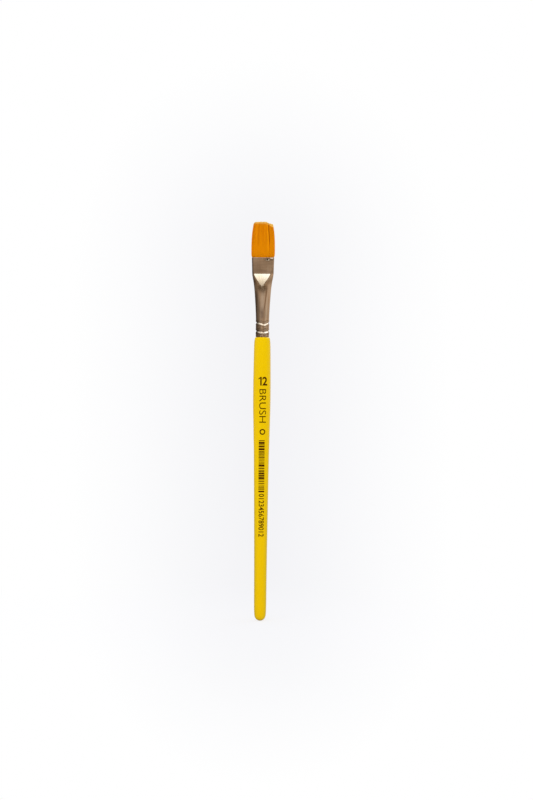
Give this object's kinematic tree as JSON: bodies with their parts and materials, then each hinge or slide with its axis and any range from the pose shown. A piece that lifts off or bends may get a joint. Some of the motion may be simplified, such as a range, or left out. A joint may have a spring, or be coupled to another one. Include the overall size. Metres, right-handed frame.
{
  "type": "flat paint brush",
  "caption": "Flat artist's paint brush: lacquered turned wooden handle, flattened and crimped metal ferrule, golden hair head that fans out and bends.",
  "frame": {"origin": "lowest point of the handle's butt end, on the brush's axis", "axes": "+Z along the brush from the butt end to the hair's tip; -Y out of the printed front face, square to the ferrule's flats; X across the width of the hair"},
  "size_m": [0.0114, 0.0084, 0.1934],
  "materials": {
    "wood": "bare, sanded",
    "lacquer": "glossy dipped yellow lacquer",
    "ferrule_metal": "polished, warm champagne tone",
    "resin": "set resin",
    "glue": "set adhesive",
    "hair": "satin nylon filament"
  },
  "bodies": {
    "handle_and_ferrule": {"handle_core": "wood", "handle_lacquer": "lacquer", "ferrule": "ferrule_metal", "root_resin": "resin", "tenon_glue": "glue", "hair_heel_1": "hair", "hair_heel_2": "hair", "hair_heel_3": "hair", "hair_heel_4": "hair", "hair_heel_5": "hair", "hair_heel_6": "hair", "hair_heel_7": "hair", "hair_belly_4": "hair"},
    "belly_1": {"hair_belly_1": "hair"},
    "belly_2": {"hair_belly_2": "hair"},
    "belly_3": {"hair_belly_3": "hair"},
    "belly_5": {"hair_belly_5": "hair"},
    "belly_6": {"hair_belly_6": "hair"},
    "belly_7": {"hair_belly_7": "hair"},
    "toe_1": {"hair_toe_1": "hair"},
    "toe_2": {"hair_toe_2": "hair"},
    "toe_3": {"hair_toe_3": "hair"},
    "toe_4": {"hair_toe_4": "hair"},
    "toe_5": {"hair_toe_5": "hair"},
    "toe_6": {"hair_toe_6": "hair"},
    "toe_7": {"hair_toe_7": "hair"}
  },
  "joints": [
    {"name": "splay_1", "type": "hinge", "parent": "handle_and_ferrule", "child": "belly_1", "pos_m": [-0.00491, 0, 0.1775], "axis": [0, 1, 0], "range_deg": [-9.99, 0], "stiffness_Nm_per_rad": 0.0002},
    {"name": "splay_2", "type": "hinge", "parent": "handle_and_ferrule", "child": "belly_2", "pos_m": [-0.00335, 0, 0.1775], "axis": [0, 1, 0], "range_deg": [-6.83, 0], "stiffness_Nm_per_rad": 0.0002},
    {"name": "splay_3", "type": "hinge", "parent": "handle_and_ferrule", "child": "belly_3", "pos_m": [-0.0017, 0, 0.1775], "axis": [0, 1, 0], "range_deg": [-3.5, 0], "stiffness_Nm_per_rad": 0.0002},
    {"name": "splay_5", "type": "hinge", "parent": "handle_and_ferrule", "child": "belly_5", "pos_m": [0.00179, 0, 0.1775], "axis": [0, 1, 0], "range_deg": [0, 3.67], "stiffness_Nm_per_rad": 0.0002},
    {"name": "splay_6", "type": "hinge", "parent": "handle_and_ferrule", "child": "belly_6", "pos_m": [0.00344, 0, 0.1775], "axis": [0, 1, 0], "range_deg": [0, 7], "stiffness_Nm_per_rad": 0.0002},
    {"name": "splay_7", "type": "hinge", "parent": "handle_and_ferrule", "child": "belly_7", "pos_m": [0.00494, 0, 0.1775], "axis": [0, 1, 0], "range_deg": [0, 10], "stiffness_Nm_per_rad": 0.0002},
    {"name": "bend_1", "type": "hinge", "parent": "belly_1", "child": "toe_1", "pos_m": [0, 0, 0.1835], "axis": [1, 0, 0], "range_deg": [-45, 45], "stiffness_Nm_per_rad": 0.0001},
    {"name": "bend_2", "type": "hinge", "parent": "belly_2", "child": "toe_2", "pos_m": [0, 0, 0.1835], "axis": [1, 0, 0], "range_deg": [-45, 45], "stiffness_Nm_per_rad": 0.0001},
    {"name": "bend_3", "type": "hinge", "parent": "belly_3", "child": "toe_3", "pos_m": [0, 0, 0.1835], "axis": [1, 0, 0], "range_deg": [-45, 45], "stiffness_Nm_per_rad": 0.0001},
    {"name": "bend_4", "type": "hinge", "parent": "handle_and_ferrule", "child": "toe_4", "pos_m": [0, 0, 0.1835], "axis": [1, 0, 0], "range_deg": [-45, 45], "stiffness_Nm_per_rad": 0.0001},
    {"name": "bend_5", "type": "hinge", "parent": "belly_5", "child": "toe_5", "pos_m": [0, 0, 0.1835], "axis": [1, 0, 0], "range_deg": [-45, 45], "stiffness_Nm_per_rad": 0.0001},
    {"name": "bend_6", "type": "hinge", "parent": "belly_6", "child": "toe_6", "pos_m": [0, 0, 0.1835], "axis": [1, 0, 0], "range_deg": [-45, 45], "stiffness_Nm_per_rad": 0.0001},
    {"name": "bend_7", "type": "hinge", "parent": "belly_7", "child": "toe_7", "pos_m": [0, 0, 0.1835], "axis": [1, 0, 0], "range_deg": [-45, 45], "stiffness_Nm_per_rad": 0.0001}
  ],
  "couplings": [
    {"joint": "splay_1", "follows": "splay_7", "ratio": -0.9943},
    {"joint": "splay_2", "follows": "splay_7", "ratio": -0.6782},
    {"joint": "splay_3", "follows": "splay_7", "ratio": -0.3448},
    {"joint": "splay_5", "follows": "splay_7", "ratio": 0.3621},
    {"joint": "splay_6", "follows": "splay_7", "ratio": 0.6954},
    {"joint": "bend_1", "follows": "bend_4", "ratio": 1},
    {"joint": "bend_2", "follows": "bend_4", "ratio": 1},
    {"joint": "bend_3", "follows": "bend_4", "ratio": 1},
    {"joint": "bend_5", "follows": "bend_4", "ratio": 1},
    {"joint": "bend_6", "follows": "bend_4", "ratio": 1},
    {"joint": "bend_7", "follows": "bend_4", "ratio": 1}
  ]
}
